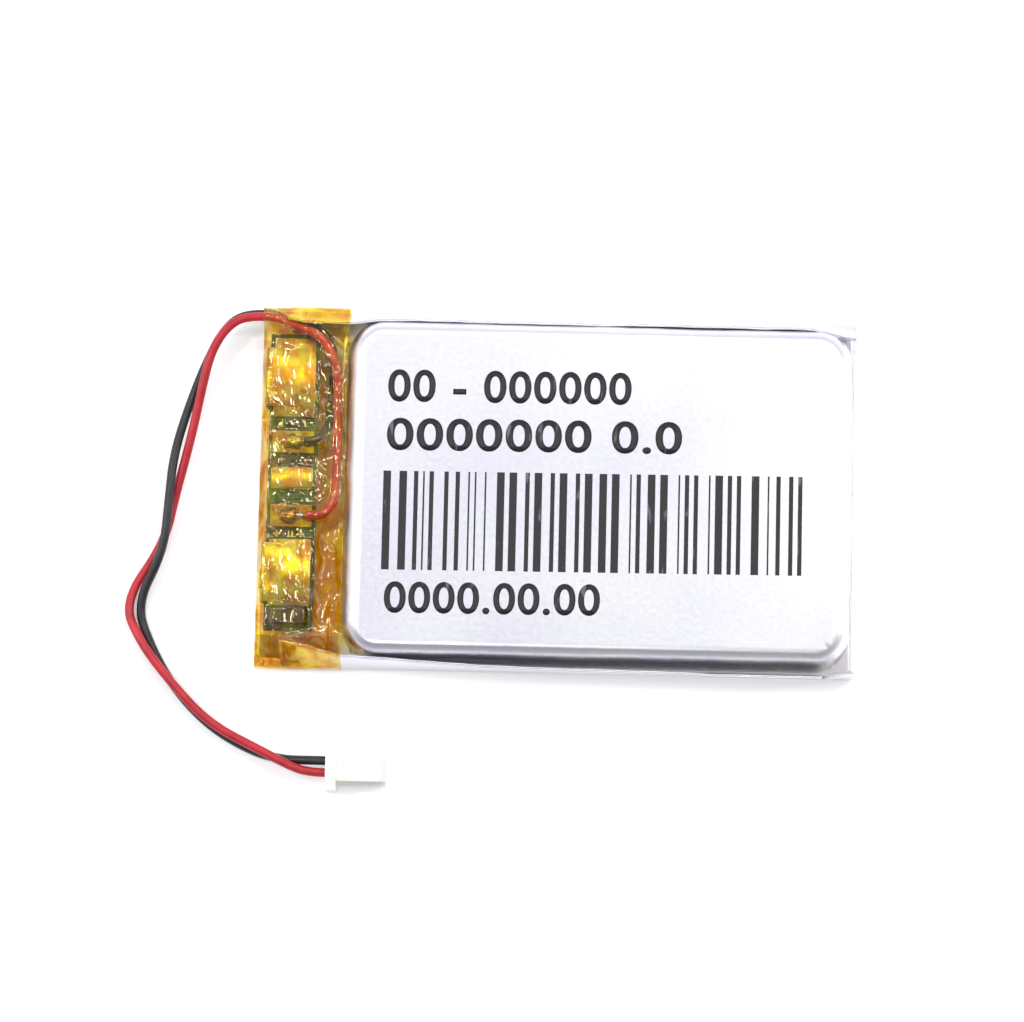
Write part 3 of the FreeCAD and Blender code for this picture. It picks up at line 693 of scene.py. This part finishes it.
def screened_marks():
    """Pale epoxy ink bars laid on the board's top."""
    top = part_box("circuit_board")[1].z
    bars = []
    for x, y in ((-23.4, -4.0), (-21.4, -4.0)):
        bars += [(x, y, 0.62, 0.13), (x, y, 0.13, 0.5)]
    bars += [(-22.4, -4.0, 0.12, 0.5), (-22.1, -4.0, 0.12, 0.5), (-21.0, 2.3, 0.5, 0.12),
             (-23.2, 2.3, 0.6, 0.12), (-23.2, 5.42, 0.1, 0.62), (-21.3, 5.42, 0.1, 0.62)]
    mesh = bmesh.new()
    for x, y, length, width in bars:
        made = bmesh.ops.create_grid(mesh, x_segments=1, y_segments=1, size=0.5)
        bmesh.ops.scale(mesh, vec=(length * MM, width * MM, 1), verts=made["verts"])
        bmesh.ops.translate(mesh, vec=(x * MM, y * MM, top + MARK), verts=made["verts"])
    return mesh


def pale_epoxy_ink():
    """Screened epoxy ink: matt, a little uneven."""
    material, tree, shader, place = start_finish("pale_epoxy_ink", "e8e8e0", 0.6, IOR=1.5)
    vary_colour(tree, shader, grain(tree, place, 0.2), 0.3, 0.7, "d6d6cc", "f0f0ea")
    return material


marks = piece_from("board_marks", screened_marks(), pale_epoxy_ink())
thicken(marks, MARK)


# ---- Solder joints ----------------------------------------------------------------------
# Lead-free solder, melted by hand over the bare strands: a bright, slightly lumpy dome that
# has flowed out to the pad's edges.
def solder_blob(node, name, finish):
    """A low dome over the pad, drawn out along the strands."""
    low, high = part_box(node)
    middle = (low + high) / 2
    mesh = bmesh.new()
    bmesh.ops.create_uvsphere(mesh, u_segments=32, v_segments=20, radius=1.0)
    below = [v for v in mesh.verts if v.co.z < -0.01]
    bmesh.ops.delete(mesh, geom=below, context="VERTS")
    rim = [e for e in mesh.edges if e.is_boundary]
    bmesh.ops.holes_fill(mesh, edges=rim, sides=0)
    for vert in mesh.verts:
        lump = 1 + 0.3 * noise.noise(vert.co * 1.9 + Vector((0, 0, middle.y * 900)))
        flow = 1 + 0.25 * (1 - vert.co.z) ** 3
        vert.co = (middle.x + vert.co.x * 0.85 * MM * flow * lump,
                   middle.y + vert.co.y * 0.55 * MM * flow * lump,
                   low.z + max(vert.co.z, 0) * (high.z - low.z) * lump)
    bmesh.ops.recalc_face_normals(mesh, faces=mesh.faces)
    blob = piece_from(name, mesh, finish)
    shade(blob, 60)
    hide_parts(node)
    return blob


solder = tin_plate("lead_free_solder", "b4b4b2", "d8d8d5", 0.22)
solder_blob("red_solder_joint", "red_solder_dome", solder)
solder_blob("black_solder_joint", "black_solder_dome", solder)


# ---- Inside the pouch -------------------------------------------------------------------
# The electrode stack and its foil ears, sealed in and never seen whole: coated foils,
# microporous separators, polyester tape and the sealing films on the tabs.
def plain_finish(name, dark, light, roughness, size_mm, metallic=0.0):
    """A simple uneven finish for a piece that the pouch or the wrap hides."""
    material, tree, shader, place = start_finish(name, light, roughness, metallic)
    vary_colour(tree, shader, grain(tree, place, size_mm), 0.3, 0.7, dark, light)
    raise_bump(tree, shader, grain(tree, place, size_mm / 3), 0.005)
    return material


HIDDEN = (
    ("anode_plates", plain_finish("calendered_graphite_coating", "1b1b1d", "2a2a2d", 0.6, 0.4)),
    ("cathode_plates", plain_finish("calendered_oxide_coating", "232326", "333338", 0.65, 0.3)),
    ("separator_sheets", plain_finish("microporous_polyolefin", "e6e6e2", "f2f2f0", 0.5, 1.0)),
    ("stack_tapes", plain_finish("green_polyester_tape", "2f7f5c", "3a946c", 0.3, 2.0)),
    ("copper_foil_ears", plain_finish("bare_copper_foil", "b4683c", "cf8455", 0.3, 0.8, 1.0)),
    ("aluminium_foil_ears", plain_finish("bare_aluminium_foil", "c2c2c4", "dededf", 0.3, 0.8, 1.0)),
    ("positive_tab_sealant", plain_finish("modified_polypropylene", "ddd8c6", "ebe7d8", 0.45, 0.8)),
    ("board_insulation", plain_finish("pressed_insulating_paper", "e0be4c", "f0d468", 0.8, 0.5)),
    ("chip_capacitor", plain_finish("fired_capacitor_ceramic", "77583c", "8d6c4c", 0.5, 0.4)),
)
hidden_finishes = dict(HIDDEN)
for node, finish in HIDDEN:
    finish_node(node, finish)
finish_node("negative_tab_sealant", hidden_finishes["positive_tab_sealant"])
finish_node("weld_tapes", hidden_finishes["stack_tapes"])
aluminium_tab = softened("positive_tab", "positive_cell_tab", 0.02,
                         hidden_finishes["aluminium_foil_ears"], 1)


# ---- Film wrap --------------------------------------------------------------------------
# Clear amber polyimide film with silicone adhesive, pulled round the board and the tab seal
# by hand. It clings to what is under it and spans the gully by the cup in long creases.
FILM = 0.05 * MM
WRAP_LOW, WRAP_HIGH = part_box("kapton_wrap")
FILM_LEFT = WRAP_LOW.x + 0.06 * MM
FILM_RIGHT = CUP_FRONT + 0.15 * MM
FILM_HALF = WRAP_HIGH.y - 0.06 * MM
GRID_X = 84
GRID_Y = 300
WALL_ROWS = 8
CLINGING = 0.04 * MM          # film's middle above what it clings to
BRIDGING = 2.4 * MM           # height at which it starts out over the gully
PRESSING = 0.0021 * MM        # pressed down by this at each pass
PASSES = 700


def surface_below():
    """Everything that the film is pressed onto, for finding heights."""
    bpy.context.view_layer.update()
    depsgraph = bpy.context.evaluated_depsgraph_get()
    covered = [nodes[n] for n in ("board_lands", "chip_resistors", "red_lead_inner",
                                  "black_lead_inner", "board_insulation")]
    names = ("protection_board", "negative_plate", "positive_plate", "small_test_pad", "end_sensor",
             "negative_cell_tab", "positive_cell_tab", "red_solder_dome", "black_solder_dome",
             "pouch_flat_half", "pouch_cup_half")
    covered += [bpy.data.objects[n] for n in names]
    points = []
    faces = []
    for thing in covered:
        data = thing.evaluated_get(depsgraph).to_mesh()
        start = len(points)
        points += [v.co.copy() for v in data.vertices]
        faces += [[start + i for i in p.vertices] for p in data.polygons]
    return BVHTree.FromPolygons(points, faces)


def heights_below(tree, xs, ys):
    """Height of what lies under each point of the film."""
    under = np.zeros((len(xs), len(ys)))
    for i, x in enumerate(xs):
        for j, y in enumerate(ys):
            hit = tree.ray_cast(Vector((x, y, 0.05)), Vector((0, 0, -1)))[0]
            under[i, j] = hit.z if hit else 0.0
    return under


def stretch_over(under, ys):
    """A taut skin over the heights below, pressed down between them by hand."""
    height = np.maximum(under, BRIDGING)
    ends = np.array([(1.3 + 0.35 * ripple(y, 0, 2.5, 3.3)) * MM for y in ys])
    lowest = under + CLINGING
    for _ in range(PASSES):
        padded = np.pad(height, 1, mode="edge")
        average = (padded[:-2, 1:-1] + padded[2:, 1:-1] + padded[1:-1, :-2] + padded[1:-1, 2:]) / 4
        height = np.maximum(average - PRESSING, lowest)
        height[0, :] = np.maximum(ends, lowest[0, :])
        height[:, 0] = np.maximum(0.9 * MM, lowest[:, 0])
        height[:, -1] = np.maximum(2.3 * MM, lowest[:, -1])
    return height


def ridge(x, y, across_mm, along_mm, seed):
    """1 on a crease line, falling off in straight flanks to 0."""
    spot = Vector((x / (across_mm * MM), y / (along_mm * MM), seed))
    return max(1 - 2.6 * abs(noise.noise(spot)), 0)


def creases(xs, ys, slack):
    """Long pulled creases where the film hangs free, faint ones where it clings."""
    field = np.zeros_like(slack)
    for i, x in enumerate(xs):
        for j, y in enumerate(ys):
            free = slack[i, j]
            bend = x + 0.5 * MM * ripple(x, y, 5, 12.1)
            long_folds = ridge(bend, y, 1.25, 7.0, 2.2) ** 1.3
            short_folds = ridge(x + y * 0.5, y - x * 0.4, 1.6, 2.8, 7.9) ** 2
            fine = ridge(x + y * 0.4, y - x * 0.3, 0.9, 1.6, 4.4)
            # the turned edge stands up in a wobbling line along the board's outer edge
            edge = BOARD_EDGE_X + EDGE_WANDER * ripple(y, 0, 1.5, 5.5)
            edge_fold = max(1 - abs(x - edge) / EDGE_WANDER, 0)
            edge_fold *= 0.6 + 0.4 * ripple(y, 1, 1.1, 6.5)
            field[i, j] = ((0.12 + 0.20 * free) * long_folds + (0.10 + 0.08 * free) * short_folds
                           + (0.012 + 0.02 * free) * fine + 0.11 * edge_fold) * MM
    return field


BOARD_EDGE_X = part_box("circuit_board")[0].x
EDGE_WANDER = 0.22 * MM
film_xs = np.linspace(FILM_LEFT, FILM_RIGHT, GRID_X + 1)
film_ys = np.linspace(-FILM_HALF, FILM_HALF, GRID_Y + 1)
film_under = heights_below(surface_below(), film_xs, film_ys)
film_height = stretch_over(film_under, film_ys)
film_slack = np.clip((film_height - film_under - 0.1 * MM) / (0.8 * MM), 0, 1)
film_height = film_height + creases(film_xs, film_ys, film_slack)


def patch(mesh, nx, ny, where):
    """A grid of nx by ny faces laid where the function says, by row and column."""
    made = bmesh.ops.create_grid(mesh, x_segments=nx, y_segments=ny, size=0.5)
    for vert in made["verts"]:
        vert.co = where(round((vert.co.x + 0.5) * nx), round((vert.co.y + 0.5) * ny))
    return made["verts"]


def film_mesh():
    """The wrap as a sleeve: stretched top, closed end, both sides and underside."""
    floor = WRAP_LOW.z
    mesh = bmesh.new()

    def crown(i, j):
        return Vector((film_xs[i], film_ys[j], film_height[i, j]))

    def wall(i, j, row, outward):
        top = crown(i, j)
        share = row / WALL_ROWS
        bulge = 0.05 * MM * ripple(top.x, top.y + row * 0.2 * MM, 1.3, 2.5)
        if outward.y > 0:
            bulge += 0.30 * MM * ease(top.x, -23.2 * MM, -22.4 * MM)
        bulge *= math.sin(math.pi * share)
        foot = top + outward * 0.05 * MM
        foot.z = floor
        return top.lerp(foot, share) + outward * bulge

    patch(mesh, GRID_X, GRID_Y, crown)
    patch(mesh, WALL_ROWS, GRID_Y, lambda i, j: wall(0, j, i, Vector((-1, 0, 0))))
    patch(mesh, GRID_X, WALL_ROWS, lambda i, j: wall(i, 0, j, Vector((0, -1, 0))))
    patch(mesh, GRID_X, WALL_ROWS, lambda i, j: wall(i, GRID_Y, j, Vector((0, 1, 0))))
    foot_end = FILM_RIGHT - 0.8 * MM
    patch(mesh, 12, 30, lambda i, j: Vector((WRAP_LOW.x + i / 12 * (foot_end - WRAP_LOW.x),
                                             WRAP_LOW.y + j / 30 * (WRAP_HIGH.y - WRAP_LOW.y),
                                             floor + FILM)))
    bmesh.ops.remove_doubles(mesh, verts=mesh.verts, dist=0.002 * MM)
    bmesh.ops.recalc_face_normals(mesh, faces=mesh.faces)
    return mesh


def shading_film_layer_mesh():
    """A second film layer lying flat on the tab seal beyond the board's near end: its doubled amber
    tint is painted shade over the gap there.
    """
    mesh = bmesh.new()
    low = (FILM_LEFT + 0.15 * MM, -14.3 * MM)
    high = (CUP_FRONT - 0.1 * MM, -12.4 * MM)

    def lie(i, j):
        x = low[0] + i / 40 * (high[0] - low[0])
        y = low[1] + j / 12 * (high[1] - low[1])
        return Vector((x, y, 0.75 * MM + 0.25 * MM * ripple(x, y, 1.5, 3.3)))

    patch(mesh, 40, 12, lie)
    bmesh.ops.recalc_face_normals(mesh, faces=mesh.faces)
    return mesh


def amber_film():
    """Polyimide: clear amber, glossy. Its adhesive has wetted out in patches.

    Light is tinted by each surface on its way in and on its way out.
    """
    material = bpy.data.materials.new("amber_polyimide_film")
    material.use_nodes = True
    tree = material.node_tree
    tree.nodes.clear()
    place = add(tree, "TexCoord").outputs["Object"]
    tone = two_tones(tree, grain(tree, place, 1.5, 7), 0.43, 0.57, "f8e060", "fff684")
    clear = add(tree, "BsdfTransparent", Color=tone)
    bump = add(tree, "Bump", {"Distance": 0.008 * MM, "Strength": 1.0},
               Height=grain(tree, place, 1.8, 3))
    gloss = add(tree, "BsdfGlossy", {"Color": (1, 1, 1, 1), "Roughness": 0.1},
                Normal=bump.outputs[0])
    facing = add(tree, "LayerWeight", {"Blend": 0.5}, Normal=bump.outputs[0]).outputs["Facing"]
    slant = add(tree, "Math", {"operation": "POWER", "Value_001": 5.0}, _0=facing)
    mirror = add(tree, "Math", {"operation": "MULTIPLY_ADD", "Value_001": 0.94, "Value_002": 0.06},
                 _0=slant.outputs[0])
    skin = add(tree, "MixShader", _0=mirror.outputs[0], _1=clear.outputs[0], _2=gloss.outputs[0])
    out = add(tree, "OutputMaterial", Surface=skin.outputs[0])
    out.is_active_output = True
    return material


amber = amber_film()
film = piece_from("amber_film_wrap", film_mesh(), amber)
shade(film, 180)
thicken(film, FILM, -1.0)
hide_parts("kapton_wrap")
# an extra amber layer whose doubled tint is painted shade between the board's near end and the near
# seal
shading_film_layer = piece_from("amber_film_inner_turn", shading_film_layer_mesh(), amber)
shade(shading_film_layer, 180)
thicken(shading_film_layer, FILM, -1.0)


# ---- Studio -----------------------------------------------------------------------------
# A white table that keeps soft shadows, one large soft lamp above, three narrow strips for
# long highlights, and three small bright lamps that glint in the film's creases.
TABLE_GAP = 0.05 * MM         # table below the cell, so that their faces never coincide
TABLE_LIFT = 0.30


def white_table():
    """Matt white board. The camera and mirrors see it lifted to clean white."""
    material, tree, shader = start_finish("white_table", "f4f4f4", 0.9)[:3]
    paths = add(tree, "LightPath")
    seen = add(tree, "Math", {"operation": "MAXIMUM"}, _0=paths.outputs["Is Camera Ray"],
               _1=paths.outputs["Is Glossy Ray"])
    seen_through = add(tree, "Math", {"operation": "MAXIMUM"}, _0=seen.outputs[0],
                       _1=paths.outputs["Is Transmission Ray"])
    lift = add(tree, "Math", {"operation": "MULTIPLY", "Value_001": TABLE_LIFT},
               _0=seen_through.outputs[0])
    tree.links.new(lift.outputs[0], shader.inputs["Emission Strength"])
    shader.inputs["Emission Color"].default_value = (1, 1, 1, 1)
    return material


table_mesh = bmesh.new()
bmesh.ops.create_grid(table_mesh, x_segments=1, y_segments=1, size=1.5)
bmesh.ops.translate(table_mesh, verts=table_mesh.verts, vec=(0, 0, -TABLE_GAP))
table_data = bpy.data.meshes.new("table")
table_mesh.to_mesh(table_data)
table_mesh.free()
table_data.materials.append(white_table())
table = bpy.data.objects.new("table", table_data)
bpy.context.scene.collection.objects.link(table)


def soft_lamp(name, place, aim, width, height, brightness):
    """An area lamp of a given surface brightness, turned to its aim."""
    data = bpy.data.lights.new(name, "AREA")
    data.shape = "RECTANGLE"
    data.size = width
    data.size_y = height
    data.energy = brightness * math.pi * width * height
    lamp = bpy.data.objects.new(name, data)
    bpy.context.scene.collection.objects.link(lamp)
    direction = Vector(aim) - Vector(place)
    lamp.rotation_euler = direction.to_track_quat("-Z", "Y").to_euler()
    lamp.location = place


CELL_MIDDLE = (0, 0, 0)
FILM_END = (-0.02, 0, 0)
# name, place, aim, width, height, brightness
for lamp in (("overhead_softbox", (0.10, 0.16, 0.50), CELL_MIDDLE, 0.42, 0.36, 0.40),
             ("left_strip", (-0.34, 0.02, 0.26), CELL_MIDDLE, 0.014, 0.26, 22.0),
             ("right_strip", (0.36, 0.05, 0.22), CELL_MIDDLE, 0.014, 0.26, 18.0),
             ("high_right_spot", (0.20, 0.14, 0.44), FILM_END, 0.05, 0.05, 45.0),
             ("high_left_spot", (-0.22, 0.09, 0.42), FILM_END, 0.05, 0.05, 45.0),
             ("high_front_spot", (-0.06, -0.14, 0.46), FILM_END, 0.04, 0.04, 30.0),
             ("back_strip", (0.02, 0.26, 0.36), CELL_MIDDLE, 0.26, 0.014, 20.0)):
    soft_lamp(*lamp)

# the room: pale, brighter near the walls, dimmer on the side that the viewer stands on
world = bpy.data.worlds.new("studio")
bpy.context.scene.world = world
world.use_nodes = True
room = world.node_tree
direction = add(room, "TexCoord").outputs["Generated"]
toward = add(room, "SeparateXYZ", Vector=direction)
overhead = add(room, "MapRange", {"From Min": 0.35, "From Max": 0.9,
                                  "To Min": 1.0, "To Max": 0.575}, Value=toward.outputs["Z"])
front = add(room, "MapRange", {"From Min": -0.75, "From Max": 0.10,
                               "To Min": 0.45, "To Max": 1.0}, Value=toward.outputs["Y"])
level = add(room, "Math", {"operation": "MULTIPLY"}, _0=overhead.outputs[0], _1=front.outputs[0])
backdrop = room.nodes["Background"]
backdrop.inputs["Color"].default_value = (0.94, 0.95, 1.0, 1)
room.links.new(level.outputs[0], backdrop.inputs["Strength"])
bpy.context.scene.view_settings.view_transform = "Standard"
